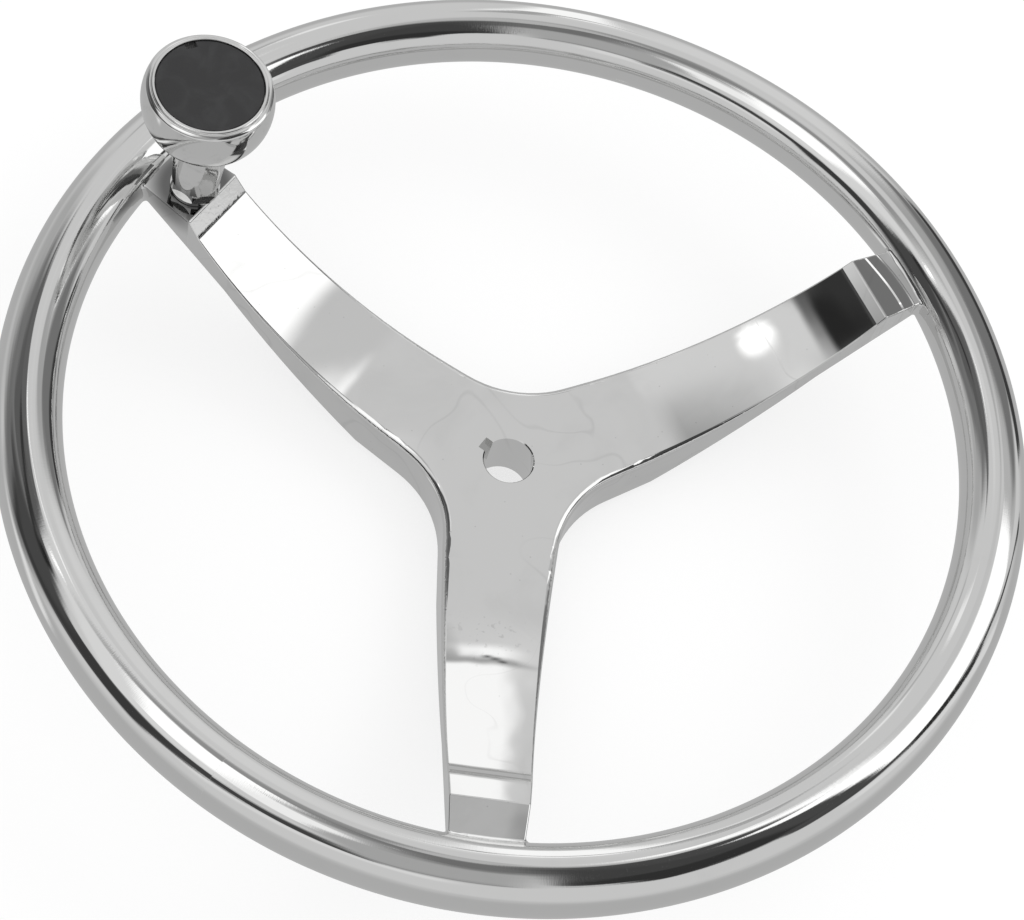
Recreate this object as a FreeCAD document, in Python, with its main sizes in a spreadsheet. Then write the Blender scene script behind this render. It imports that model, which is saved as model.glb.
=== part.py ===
import FreeCAD, Part
import Sketcher
import math
import os

# Stainless boat steering wheel: a rolled tube rim, a cast hub with three dished spokes welded
# into it, and a spinner knob bolted through the pad of one spoke.
# The bore axis is Z. Z = 0 is the back face of the hub, which seats towards the helm, and +Z
# points at the person steering. The spoke with the knob points along +Y, as the wheel is set
# for straight ahead. All sizes are in millimetres.

doc = FreeCAD.newDocument("SteeringWheel")
sizes = doc.addObject("Spreadsheet::Sheet", "Sizes")

DRIVING = [
    # Rim: a 7/8 in tube rolled to a 13 1/2 in wheel
    ("wheel_dia", 343.0, "outer diameter of the rim"),
    ("tube_dia", 22.2, "outer diameter of the rim tube"),
    ("tube_wall", 1.5, "wall of the rim tube"),
    # Hub
    ("hub_length", 22.0, "length of the hub along the shaft"),
    ("hub_boss_dia", 50.0, "diameter of the round boss at the back"),
    ("hub_boss_height", 5.0, "how far the boss stands behind the spokes"),
    ("bore_large_dia", 19.05, "large end of the tapered bore, at the back"),
    ("taper_per_length", 1.0 / 12.0, "loss of diameter for each unit of length"),
    ("key_width", 4.76, "width of the keyway"),
    ("key_depth", 2.5, "depth of the keyway below the bore wall"),
    ("bore_chamfer", 0.4, "broken edge round the mouth of the bore and of turned pieces"),
    ("boss_round", 0.8, "rounding of the boss at the back"),
    # Spokes
    ("spoke_count", 3.0, "number of spokes"),
    ("dish", 32.0, "hub face to the rim's middle plane"),
    ("valley_reach", 28.5, "bore axis to the outline midway between two spokes"),
    ("valley_radius", 37.8, "radius of the outline between two spokes"),
    ("spoke_end_width", 22.6, "width of a spoke where it meets the rim"),
    ("rise_start", 40.0, "where the flat hub face begins to curve up"),
    ("facet_to_rim_knob", 24.3, "knob spoke: from where the short facet begins to the tube"),
    ("facet_drop_knob", 6.2, "knob spoke: facet start below the pad"),
    ("pad_to_rim_knob", 19.8, "knob spoke: from the sharp edge of the pad to the tube"),
    ("facet_to_rim_left", 21.2, "left spoke, as above"),
    ("facet_drop_left", 5.1, "left spoke"),
    ("pad_to_rim_left", 12.1, "left spoke"),
    ("facet_to_rim_right", 18.3, "right spoke, as above"),
    ("facet_drop_right", 3.4, "right spoke"),
    ("pad_to_rim_right", 14.6, "right spoke"),
    ("pad_above_rim_plane", 4.0, "pad above the rim's middle plane"),
    ("back_rise_start", 50.0, "where the flat back begins to curve up"),
    ("knee_to_rim", 37.3, "from the knee, where the back turns into a straight run, to the tube"),
    ("back_knee_height", 29.0, "knee above the flat back"),
    ("back_sag", 2.6, "bulge of the curved back below its chord"),
    ("back_end_thickness", 5.5, "spoke thickness where it meets the rim"),
    ("edge_round", 2.6, "rounding of the front edges at the hub"),
    ("pad_edge_round", 0.6, "rounding of the side edges of the facet and pad"),
    ("weld_round", 1.4, "throat of the blended weld at each spoke end"),
    # Knob place and stud
    ("knob_to_rim", 12.4, "knob axis to the tube"),
    ("knob_lean", 4.2, "slope of the knob's pad, by which the knob leans to the hub, in degrees"),
    ("stud_dia", 8.0, "stud of the knob post"),
    ("stud_clearance", 0.3, "gap round the stud in the spoke"),
    ("stud_tail", 1.5, "stud standing proud of its nut"),
    ("pad_seat_thickness", 7.5, "spoke left between the pad and the spot face"),
    ("spot_face_dia", 17.0, "flat cut behind the pad for washer and nut"),
    # Knob post
    ("foot_dia", 16.8, "round collar that stands on the pad"),
    ("foot_height", 1.6, "height of the collar"),
    ("hex_flats", 14.3, "spanner flats above the collar"),
    ("hex_height", 4.0, "height of the spanner flats"),
    ("stem_low_dia", 16.4, "tapered stem, lower end"),
    ("stem_top_dia", 20.4, "tapered stem, upper end"),
    ("stem_top", 36.0, "pad to the shoulder at the top of the stem"),
    ("spindle_dia", 10.0, "spindle that the head turns on"),
    # Knob head
    ("ball_dia", 43.0, "diameter of the ball"),
    ("ball_centre", 50.6, "pad to the centre of the ball"),
    ("ball_top", 58.7, "pad to the flat top of the ball"),
    ("ball_bottom", 34.4, "pad to the flat underside of the ball"),
    ("lip_round", 1.3, "rounding of the lip round the cap"),
    ("underside_round", 0.5, "rounding of the edge of the ball's underside"),
    ("cavity_dia", 30.6, "bored hollow of the ball"),
    ("head_floor", 6.5, "floor of that hollow"),
    ("sleeve_wall", 3.0, "wall of the sleeve that holds the bushes"),
    ("skirt_gap", 0.6, "gap between the stem and the underside of the ball"),
    ("cap_dia", 34.9, "black cap"),
    ("cap_height", 2.0, "thickness of the cap's disc"),
    ("cap_inset", 0.3, "cap below the rim of the ball"),
    ("cap_gap", 0.1, "gap round the cap"),
    ("cap_skirt_height", 2.4, "ring under the cap that snaps into the ball"),
    ("cap_skirt_wall", 1.4, "wall of that ring"),
    ("cap_slot_width", 3.8, "slot for prying the cap out"),
    ("cap_slot_depth", 2.4, "how far that slot reaches in from the edge"),
    ("cap_slot_turn", 60.5, "where the slot lies round the cap, in degrees from +X"),
    # Bushes, washers, screw
    ("bush_wall", 1.45, "wall of a bush"),
    ("running_gap", 0.05, "radial gap between spindle and bush"),
    ("bush_flange_dia", 17.0, "flange of a bush"),
    ("bush_flange_height", 1.2, "thickness of that flange"),
    ("bush_length", 5.5, "pressed length of a bush"),
    ("sleeve_length", 13.0, "sleeve between the two flanges"),
    ("thrust_height", 1.0, "thrust washer under the lower bush"),
    ("thrust_dia", 17.6, "diameter of the thrust washer"),
    ("end_play", 0.1, "play of the head along its axis"),
    ("keeper_dia", 16.0, "washer that keeps the head on"),
    ("keeper_height", 1.4, "its thickness"),
    ("screw_dia", 5.0, "retaining screw"),
    ("screw_length", 14.0, "length of its shank in the spindle"),
    ("screw_head_dia", 9.2, "its head"),
    ("screw_head_height", 2.0, "height of its head"),
    ("screw_socket", 3.0, "hexagon socket of the screw"),
    ("thread_gap", 0.05, "gap between a screw and its thread hole"),
    ("spring_washer_dia", 14.6, "split lock washer under the nut"),
    ("spring_washer_height", 2.0, "its thickness"),
    ("spring_washer_split", 1.2, "width of its split"),
    ("nut_flats", 13.0, "stud nut across its flats"),
    ("nut_height", 6.5, "height of the stud nut"),
    ("nut_chamfer", 0.9, "bevel at the nut's corners"),
    # Cutting
    ("margin", 5.0, "how far a cutter reaches past the metal"),
]

DERIVED = [
    ("tube_radius", "=tube_dia / 2"),
    ("ring_radius", "=(wheel_dia - tube_dia) / 2"),
    ("rim_plane", "=hub_length + dish"),
    ("pad_height", "=rim_plane + pad_above_rim_plane"),
    ("valley_centre", "=valley_reach + valley_radius"),
    ("spoke_tip", "=ring_radius - tube_radius / 2"),
    ("back_end_height", "=pad_height - back_end_thickness"),
    ("back_end_reach", "=ring_radius - tube_radius"),
    ("facet_start_knob", "=back_end_reach - facet_to_rim_knob"),
    ("facet_start_left", "=back_end_reach - facet_to_rim_left"),
    ("facet_start_right", "=back_end_reach - facet_to_rim_right"),
    ("pad_start_knob", "=back_end_reach - pad_to_rim_knob"),
    ("pad_start_left", "=back_end_reach - pad_to_rim_left"),
    ("pad_start_right", "=back_end_reach - pad_to_rim_right"),
    ("back_knee", "=back_end_reach - knee_to_rim"),
    ("knob_radius_on_wheel", "=back_end_reach - knob_to_rim"),
    ("pad_slope_knob", "=tan(knob_lean)"),
    ("pad_slope_left", "=0 * pad_slope_knob"),
    ("pad_slope_right", "=0 * pad_slope_knob"),
    ("knee_height", "=hub_boss_height + back_knee_height"),
    ("back_slope", "=(back_end_height - knee_height) / (back_end_reach - back_knee)"),
    ("cutter_reach", "=ring_radius + tube_radius + margin"),
    ("back_far_height", "=knee_height + (cutter_reach - back_knee) * back_slope"),
    ("back_chord_square", "=(back_knee - back_rise_start)^2 + back_knee_height^2"),
    ("back_curve_radius", "=back_chord_square / (8 * back_sag) + back_sag / 2"),
    ("blade_cut_width", "=1.5 * valley_centre"),
    ("bore_small_dia", "=bore_large_dia - hub_length * taper_per_length"),
    ("hex_base", "=foot_height"),
    ("stem_base", "=foot_height + hex_height"),
    ("lower_flange_base", "=stem_top + thrust_height"),
    ("sleeve_base", "=lower_flange_base + bush_flange_height"),
    ("sleeve_top", "=sleeve_base + sleeve_length"),
    ("lower_bush_end", "=sleeve_base + bush_length"),
    ("upper_bush_end", "=sleeve_top - bush_length"),
    ("upper_flange_top", "=sleeve_top + bush_flange_height"),
    ("keeper_base", "=upper_flange_top + end_play"),
    ("keeper_top", "=keeper_base + keeper_height"),
    ("bush_bore_dia", "=spindle_dia + 2 * running_gap"),
    ("bush_dia", "=bush_bore_dia + 2 * bush_wall"),
    ("sleeve_dia", "=bush_dia + 2 * sleeve_wall"),
    ("skirt_bore_dia", "=stem_top_dia + 2 * skirt_gap"),
    ("cap_top", "=ball_top - cap_inset"),
    ("cap_base", "=cap_top - cap_height"),
    ("recess_dia", "=cap_dia + 2 * cap_gap"),
]

value = {}
row = 1
for alias, number, meaning in DRIVING:
    sizes.set("A%d" % row, alias)
    sizes.set("B%d" % row, repr(number))
    sizes.set("C%d" % row, meaning)
    sizes.setAlias("B%d" % row, alias)
    row = row + 1
for alias, formula in DERIVED:
    sizes.set("A%d" % row, alias)
    sizes.set("B%d" % row, formula)
    sizes.setAlias("B%d" % row, alias)
    row = row + 1
doc.recompute()
for entry in DRIVING + DERIVED:
    value[entry[0]] = float(sizes.get(entry[0]))


class Size:
    """A size: its number as the sheet stands now, and the formula that ties it to the sheet."""

    def __init__(self, number, formula):
        self.number = number
        self.formula = formula

    def joined(self, other, sign, number):
        if not isinstance(other, Size):
            other = Size(float(other), repr(float(other)))
        return Size(number(self.number, other.number), "(%s %s %s)" % (self.formula, sign, other.formula))

    def __add__(self, other):
        return self.joined(other, "+", lambda a, b: a + b)

    def __sub__(self, other):
        return self.joined(other, "-", lambda a, b: a - b)

    def __mul__(self, other):
        return self.joined(other, "*", lambda a, b: a * b)

    def __truediv__(self, other):
        return self.joined(other, "/", lambda a, b: a / b)

    def __neg__(self):
        return Size(0.0, "0") - self


def size(alias):
    return Size(value[alias], "Sizes." + alias)


ZERO = Size(0.0, "0")


# Helpers for bodies and sketches

def vec(x, y, z=0.0):
    return FreeCAD.Vector(x, y, z)


def new_body(label):
    body = doc.addObject("PartDesign::Body", label)
    body.Label = label
    return body


def plane_of(body, role):
    for feature in body.Origin.OriginFeatures:
        if feature.Role == role:
            return feature
    raise ValueError("no plane " + role)


def new_sketch(body, name, role):
    """A sketch on one of the body's own planes: XY_Plane, XZ_Plane or YZ_Plane."""
    sketch = body.newObject("Sketcher::SketchObject", name)
    sketch.AttachmentSupport = [(plane_of(body, role), "")]
    sketch.MapMode = "FlatFace"
    return sketch


def hold(sketch, kind, items, wanted):
    """A dimension of the sketch that follows the sheet."""
    index = sketch.addConstraint(Sketcher.Constraint(kind, *(items + [wanted.number])))
    sketch.setExpression("Constraints[%d]" % index, wanted.formula)


def place_point(sketch, line, end, across, up):
    """Ties a point to its coordinates. A plain number leaves that coordinate free."""
    if isinstance(across, Size):
        if across.formula == "0":
            sketch.addConstraint(Sketcher.Constraint("PointOnObject", line, end, -2))
        else:
            hold(sketch, "DistanceX", [-1, 1, line, end], across)
    if isinstance(up, Size):
        if up.formula == "0":
            sketch.addConstraint(Sketcher.Constraint("PointOnObject", line, end, -1))
        else:
            hold(sketch, "DistanceY", [-1, 1, line, end], up)


def as_number(coordinate):
    if isinstance(coordinate, Size):
        return coordinate.number
    return coordinate


def outline(sketch, corners, arcs=None):
    """A closed outline through the corners. arcs = {index of the side: (through point, radius, centre)};
    the radius or the centre ties the arc down, and either may be None."""
    arcs = arcs or {}
    count = len(corners)
    points = [vec(as_number(across), as_number(up)) for across, up in corners]
    for index in range(count):
        start = points[index]
        finish = points[(index + 1) % count]
        if index in arcs:
            through = arcs[index][0]
            sketch.addGeometry(Part.Arc(start, vec(through[0], through[1]), finish), False)
        else:
            sketch.addGeometry(Part.LineSegment(start, finish), False)
    begins = []
    for index in range(count):
        begins.append(1 if starts_at(sketch, index, points[index]) else 2)
    for index in range(count):
        after = (index + 1) % count
        end = 3 - begins[index]
        sketch.addConstraint(Sketcher.Constraint("Coincident", index, end, after, begins[after]))
    for index in range(count):
        place_point(sketch, index, begins[index], corners[index][0], corners[index][1])
    for index in arcs:
        radius = arcs[index][1]
        centre = arcs[index][2]
        if radius is not None:
            hold(sketch, "Radius", [index], radius)
        if centre is not None:
            place_point(sketch, index, 3, centre[0], centre[1])


def starts_at(sketch, index, point):
    """An arc is stored anticlockwise, so its first end may be the outline's second."""
    return sketch.getPoint(index, 1).distanceToPoint(point) < 1e-6


def circle(sketch, across, up, diameter):
    index = sketch.addGeometry(Part.Circle(vec(as_number(across), as_number(up)), vec(0, 0, 1),
                                           diameter.number / 2), False)
    place_point(sketch, index, 3, across, up)
    hold(sketch, "Diameter", [index], diameter)
    return index


def turned(body, name, corners, arcs=None, groove=False):
    """A profile drawn to the right of the axis and turned round it."""
    sketch = new_sketch(body, name + "_profile", "XZ_Plane")
    outline(sketch, corners, arcs)
    feature = body.newObject("PartDesign::Groove" if groove else "PartDesign::Revolution", name)
    feature.Profile = sketch
    feature.ReferenceAxis = (sketch, ["V_Axis"])
    feature.Angle = 360.0
    body.Tip = feature
    doc.recompute()
    return feature


def pad(body, name, sketch, length):
    feature = body.newObject("PartDesign::Pad", name)
    feature.Profile = sketch
    feature.setExpression("Length", length.formula)
    body.Tip = feature
    doc.recompute()
    return feature


def cut_through(body, name, sketch, width=None):
    """A pocket to both sides of its sketch, as wide as given, or through everything."""
    before = body.Tip.Shape.Volume
    feature = body.newObject("PartDesign::Pocket", name)
    feature.Profile = sketch
    feature.Midplane = True
    if width is None:
        feature.Type = "ThroughAll"
    else:
        feature.setExpression("Length", width.formula)
    body.Tip = feature
    doc.recompute()
    print(name, "takes off", round(before - feature.Shape.Volume, 1), "mm3")
    return feature


def cut_upward(body, name, sketch, height):
    """A pocket from its sketch upwards."""
    before = body.Tip.Shape.Volume
    feature = body.newObject("PartDesign::Pocket", name)
    feature.Profile = sketch
    feature.Reversed = True
    feature.setExpression("Length", height.formula)
    body.Tip = feature
    doc.recompute()
    print(name, "takes off", round(before - feature.Shape.Volume, 1), "mm3")
    return feature


def round_edges(body, name, radius, wanted):
    """Rounds every edge for which wanted(edge) is true."""
    base = body.Tip
    chosen = []
    for index, edge in enumerate(base.Shape.Edges):
        if wanted(edge):
            chosen.append("Edge%d" % (index + 1))
    feature = body.newObject("PartDesign::Fillet", name)
    feature.Base = (base, chosen)
    feature.setExpression("Radius", radius.formula)
    body.Tip = feature
    doc.recompute()
    print(name, "rounds", len(chosen), "edges")
    return feature


def hexagon(sketch, flats):
    """A hexagon round the origin with two corners on the vertical axis."""
    corner = flats.number / math.sqrt(3.0)
    points = []
    for step in range(6):
        turn = math.radians(90 + 60 * step)
        points.append(vec(corner * math.cos(turn), corner * math.sin(turn)))
    sides = []
    for step in range(6):
        sides.append(sketch.addGeometry(Part.LineSegment(points[step], points[(step + 1) % 6]), False))
    ring = sketch.addGeometry(Part.Circle(vec(0, 0), vec(0, 0, 1), corner), True)
    for step in range(6):
        sketch.addConstraint(Sketcher.Constraint("Coincident", sides[step], 2, sides[(step + 1) % 6], 1))
    for step in range(6):
        sketch.addConstraint(Sketcher.Constraint("PointOnObject", sides[step], 1, ring))
    for step in range(5):
        sketch.addConstraint(Sketcher.Constraint("Equal", sides[step], sides[step + 1]))
    sketch.addConstraint(Sketcher.Constraint("Coincident", ring, 3, -1, 1))
    sketch.addConstraint(Sketcher.Constraint("PointOnObject", sides[0], 1, -2))
    hold(sketch, "Diameter", [ring], flats * (2.0 / math.sqrt(3.0)))


def on_pad(body):
    """Pieces of the knob are drawn about their own axis, from the pad up, and set square on the
    sloping pad, so they lean towards the hub."""
    body.Placement = FreeCAD.Placement(vec(0, 0, 0), FreeCAD.Rotation(vec(1, 0, 0), value["knob_lean"]))
    body.setExpression("Placement.Base.y", "Sizes.knob_radius_on_wheel")
    body.setExpression("Placement.Base.z", "Sizes.pad_height")
    body.setExpression("Placement.Rotation.Angle", "Sizes.knob_lean")


# Rim: one length of tube rolled into a ring, its ends butt welded and the weld polished out

rim = new_body("rim_tube")
rim_section = new_sketch(rim, "tube_section", "XZ_Plane")
circle(rim_section, size("ring_radius"), size("rim_plane"), size("tube_dia"))
circle(rim_section, size("ring_radius"), size("rim_plane"), size("tube_dia") - size("tube_wall") * 2)
rolled = rim.newObject("PartDesign::Revolution", "rolled_tube")
rolled.Profile = rim_section
rolled.ReferenceAxis = (rim_section, ["V_Axis"])
rolled.Angle = 360.0
rim.Tip = rolled
doc.recompute()


# Spider: the cast hub with its three spokes. The raw casting comes first. One third of its plan
# is drawn as a blade with a concave valley on each side. Side profiles then shape front and back.

casting = new_body("casting")
half_end = value["spoke_end_width"] / 2
centre_x = value["valley_centre"] * math.cos(math.radians(30))
centre_y = value["valley_centre"] * math.sin(math.radians(30))
valley_x = value["valley_reach"] * math.cos(math.radians(30))
valley_y = value["valley_reach"] * math.sin(math.radians(30))
reach = math.hypot(centre_x - half_end, centre_y - value["spoke_tip"])
bearing = math.atan2(centre_y - value["spoke_tip"], centre_x - half_end)
spread = math.asin(value["valley_radius"] / reach)
run = math.sqrt(reach ** 2 - value["valley_radius"] ** 2)
touch_x = half_end + run * math.cos(bearing - spread)
touch_y = value["spoke_tip"] + run * math.sin(bearing - spread)
middle = math.radians(0.5 * (210 + math.degrees(math.atan2(touch_y - centre_y, touch_x - centre_x)) % 360))
bulge_x = centre_x + value["valley_radius"] * math.cos(middle)
bulge_y = centre_y + value["valley_radius"] * math.sin(middle)

plan = new_sketch(casting, "spoke_plan", "XY_Plane")
corners = [
    vec(0, 0),
    vec(valley_x, valley_y),
    vec(touch_x, touch_y),
    vec(half_end, value["spoke_tip"]),
    vec(-half_end, value["spoke_tip"]),
    vec(-touch_x, touch_y),
    vec(-valley_x, valley_y),
]
plan.addGeometry(Part.LineSegment(corners[0], corners[1]), False)
plan.addGeometry(Part.Arc(corners[1], vec(bulge_x, bulge_y), corners[2]), False)
plan.addGeometry(Part.LineSegment(corners[2], corners[3]), False)
plan.addGeometry(Part.LineSegment(corners[3], corners[4]), False)
plan.addGeometry(Part.LineSegment(corners[4], corners[5]), False)
plan.addGeometry(Part.Arc(corners[5], vec(-bulge_x, bulge_y), corners[6]), False)
plan.addGeometry(Part.LineSegment(corners[6], corners[0]), False)
first = {}
last = {}
for index in range(7):
    forward = plan.getPoint(index, 1).distanceToPoint(corners[index]) < 1e-6
    first[index] = 1 if forward else 2
    last[index] = 2 if forward else 1
plan.addConstraint(Sketcher.Constraint("Tangent", 1, last[1], 2, first[2]))
for index in (0, 2, 3, 4, 5, 6):
    after = (index + 1) % 7
    plan.addConstraint(Sketcher.Constraint("Coincident", index, last[index], after, first[after]))
plan.addConstraint(Sketcher.Constraint("Coincident", 0, first[0], -1, 1))
plan.addConstraint(Sketcher.Constraint("Symmetric", 0, last[0], 6, first[6], -2))
plan.addConstraint(Sketcher.Constraint("Equal", 1, 5))
plan.addConstraint(Sketcher.Constraint("Symmetric", 2, first[2], 4, last[4], -2))
plan.addConstraint(Sketcher.Constraint("Symmetric", 3, first[3], 3, last[3], -2))
cosine = math.cos(math.radians(30))
hold(plan, "DistanceX", [-1, 1, 0, last[0]], size("valley_reach") * cosine)
hold(plan, "DistanceY", [-1, 1, 0, last[0]], size("valley_reach") * 0.5)
hold(plan, "DistanceX", [-1, 1, 1, 3], size("valley_centre") * cosine)
hold(plan, "DistanceY", [-1, 1, 1, 3], size("valley_centre") * 0.5)
hold(plan, "DistanceX", [-1, 1, 2, last[2]], size("spoke_end_width") / 2)
hold(plan, "DistanceY", [-1, 1, 2, last[2]], size("spoke_tip"))
doc.recompute()
print("plan solves", plan.solve(), "fully constrained", plan.FullyConstrained)
blade = pad(casting, "spoke_blade", plan, size("pad_height") + size("margin"))

# Back of the spoke: flat at the hub, then a long curve, then a straight run to the rim
behind = new_sketch(casting, "back_profile", "YZ_Plane")
chord_y = value["back_knee"] - value["back_rise_start"]
chord_z = value["back_knee_height"]
chord = math.hypot(chord_y, chord_z)
sag_point = (
    0.5 * (value["back_rise_start"] + value["back_knee"]) + value["back_sag"] * chord_z / chord,
    value["hub_boss_height"] + 0.5 * chord_z - value["back_sag"] * chord_y / chord,
)
outline(
    behind,
    [
        (-size("margin") / 5, -size("margin")),
        (-size("margin") / 5, size("hub_boss_height")),
        (size("back_rise_start"), size("hub_boss_height")),
        (size("back_knee"), size("knee_height")),
        (size("cutter_reach"), size("back_far_height")),
        (size("cutter_reach"), -size("margin")),
    ],
    {2: (sag_point, size("back_curve_radius"), None)},
)
doc.recompute()
behind_cut = cut_through(casting, "back_of_spoke", behind, size("blade_cut_width"))

# The blade is repeated round the bore axis
spokes = casting.newObject("PartDesign::PolarPattern", "three_spokes")
spokes.Originals = [blade, behind_cut]
spokes.Axis = (plan, ["N_Axis"])
spokes.Angle = 360.0
spokes.setExpression("Occurrences", "Sizes.spoke_count")
casting.Tip = spokes
doc.recompute()
print("three_spokes", round(spokes.Shape.Volume, 1), "mm3, solids", len(spokes.Shape.Solids))

# Front of each spoke: the flat hub face curves up to a short facet, which ends in the sharp
# edge of the pad. Facets and pads were ground by hand, so each spoke has its own, and the pad
# under the knob slopes a little.

def pad_level(name, out):
    """Height of a pad at a distance out from the bore axis."""
    return size("pad_height") + (out - size("knob_radius_on_wheel")) * size("pad_slope_" + name)


for name, turn in (("knob", 0.0), ("left", 120.0), ("right", 240.0)):
    front = new_sketch(casting, "front_profile_" + name, "YZ_Plane")
    front.AttachmentOffset = FreeCAD.Placement(vec(0, 0, 0), FreeCAD.Rotation(vec(0, 1, 0), turn))
    start = size("rise_start")
    facet = size("facet_start_" + name)
    drop = size("facet_drop_" + name)
    rise = value["pad_height"] - value["facet_drop_" + name] - value["hub_length"]
    span = facet.number - start.number
    curve = (span ** 2 + rise ** 2) / (2 * rise)
    half = 0.5 * math.asin(span / curve)
    through = (start.number + curve * math.sin(half), value["hub_length"] + curve * (1 - math.cos(half)))
    top = size("pad_height") + size("margin") * 2
    outline(
        front,
        [
            (-size("margin") / 5, top),
            (-size("margin") / 5, size("hub_length")),
            (start, size("hub_length")),
            (facet, size("pad_height") - drop),
            (size("pad_start_" + name), pad_level(name, size("pad_start_" + name))),
            (size("cutter_reach"), pad_level(name, size("cutter_reach"))),
            (size("cutter_reach"), top),
        ],
        {2: (through, None, (start, curve + value["hub_length"]))},
    )
    doc.recompute()
    cut_through(casting, "front_of_spoke_" + name, front, size("blade_cut_width"))


def folded(point):
    """The point seen from the spoke nearest to it: distance out along that spoke, distance off
    its centre line, and the name of the spoke."""
    out = math.hypot(point.x, point.y)
    turn = math.degrees(math.atan2(-point.x, point.y)) % 360.0
    nearest = int(round(turn / 120.0)) % 3
    off = math.radians(turn - 120.0 * round(turn / 120.0))
    return out * math.cos(off), abs(out * math.sin(off)), ("knob", "left", "right")[nearest]


def middle_of(edge):
    return edge.valueAt(0.5 * (edge.FirstParameter + edge.LastParameter))


def front_height(along, name):
    """Height of the front of a spoke at a distance out from the bore axis."""
    start = value["rise_start"]
    facet = value["facet_start_" + name]
    facet_height = value["pad_height"] - value["facet_drop_" + name]
    rise = facet_height - value["hub_length"]
    curve = ((facet - start) ** 2 + rise ** 2) / (2 * rise)
    if along <= start:
        return value["hub_length"]
    if along <= facet:
        return value["hub_length"] + curve - math.sqrt(curve ** 2 - (along - start) ** 2)
    pad_start = size("pad_start_" + name)
    if along <= pad_start.number:
        share = (along - facet) / (pad_start.number - facet)
        return facet_height + (pad_level(name, pad_start).number - facet_height) * share
    return pad_level(name, Size(along, repr(along))).number


def is_front_edge(edge):
    point = middle_of(edge)
    along, off, name = folded(point)
    at_side = off > 0.25 * value["spoke_end_width"]
    outside_hub = math.hypot(point.x, point.y) > 0.9 * value["valley_reach"]
    return at_side and outside_hub and abs(point.z - front_height(along, name)) < 0.05


def rounding_at(vertex):
    """The front edges are almost sharp at the facets and grow rounder towards the hub."""
    along, off, name = folded(vertex.Point)
    facet = value["facet_start_" + name]
    share = min(max((facet - along) / (facet - touch_y), 0.0), 1.0)
    return value["pad_edge_round"] + (value["edge_round"] - value["pad_edge_round"]) * share


rounded = doc.addObject("Part::Fillet", "rounded_casting")
rounded.Base = casting
front_edges = []
for index, edge in enumerate(casting.Shape.Edges):
    if is_front_edge(edge):
        front_edges.append((index + 1, rounding_at(edge.Vertexes[0]), rounding_at(edge.Vertexes[1])))
rounded.Edges = front_edges
doc.recompute()
print("rounded_casting rounds", len(front_edges), "edges, valid", rounded.Shape.isValid())

spider = new_body("spider")
spider.BaseFeature = rounded
doc.recompute()

# Each spoke end is coped to the tube and welded all round. The tube is added, the line where it
# meets the spokes is blended, and the tube is taken away again.
dummy_section = new_sketch(spider, "tube_place", "XZ_Plane")
circle(dummy_section, size("ring_radius"), size("rim_plane"), size("tube_dia"))
dummy = spider.newObject("PartDesign::Revolution", "tube_for_weld")
dummy.Profile = dummy_section
dummy.ReferenceAxis = (dummy_section, ["V_Axis"])
dummy.Angle = 360.0
spider.Tip = dummy
doc.recompute()


def on_tube(point):
    return abs(math.hypot(math.hypot(point.x, point.y) - value["ring_radius"], point.z - value["rim_plane"])
               - value["tube_radius"]) < 0.01


def is_weld_edge(edge):
    first_point = edge.valueAt(edge.FirstParameter)
    last_point = edge.valueAt(edge.LastParameter)
    at_one_spoke = edge.Length < value["ring_radius"]
    return on_tube(first_point) and on_tube(last_point) and on_tube(middle_of(edge)) and at_one_spoke


round_edges(spider, "weld", size("weld_round"), is_weld_edge)
cope_section = new_sketch(spider, "cope_section", "XZ_Plane")
circle(cope_section, size("ring_radius"), size("rim_plane"), size("tube_dia"))
cope = spider.newObject("PartDesign::Groove", "coped_ends")
cope.Profile = cope_section
cope.ReferenceAxis = (cope_section, ["V_Axis"])
cope.Angle = 360.0
spider.Tip = cope
doc.recompute()
print("coped_ends", round(cope.Shape.Volume, 1), "mm3, solids", len(cope.Shape.Solids))

# Round boss at the back of the hub, the face that seats against the helm
boss_plan = new_sketch(spider, "boss_plan", "XY_Plane")
circle(boss_plan, ZERO, ZERO, size("hub_boss_dia"))
boss = pad(spider, "hub_boss", boss_plan, size("hub_boss_height") * 2)


def is_boss_edge(edge):
    point = middle_of(edge)
    round_edge = abs(math.hypot(point.x, point.y) - 0.5 * value["hub_boss_dia"]) < 0.01
    return round_edge and abs(point.z) < 0.01


round_edges(spider, "boss_edge", size("boss_round"), is_boss_edge)

# Tapered bore with a keyway that follows the taper, cut towards the knob spoke
large = size("bore_large_dia") / 2
lost = size("taper_per_length") / 2
broken = size("bore_chamfer")
turned(
    spider,
    "tapered_bore",
    [
        (ZERO, -size("margin")),
        (large + lost * size("margin"), -size("margin")),
        (large - lost * (size("hub_length") - broken), size("hub_length") - broken),
        (size("bore_small_dia") / 2 + broken, size("hub_length")),
        (size("bore_small_dia") / 2 + broken, size("hub_length") + size("margin")),
        (ZERO, size("hub_length") + size("margin")),
    ],
    groove=True,
)
keyway_side = new_sketch(spider, "keyway_side", "YZ_Plane")
deep = size("key_depth")
outline(
    keyway_side,
    [
        (ZERO, -size("margin")),
        (large + deep + lost * size("margin"), -size("margin")),
        (large + deep - lost * (size("hub_length") + size("margin")), size("hub_length") + size("margin")),
        (ZERO, size("hub_length") + size("margin")),
    ],
)
doc.recompute()
cut_through(spider, "keyway", keyway_side, size("key_width"))

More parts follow.
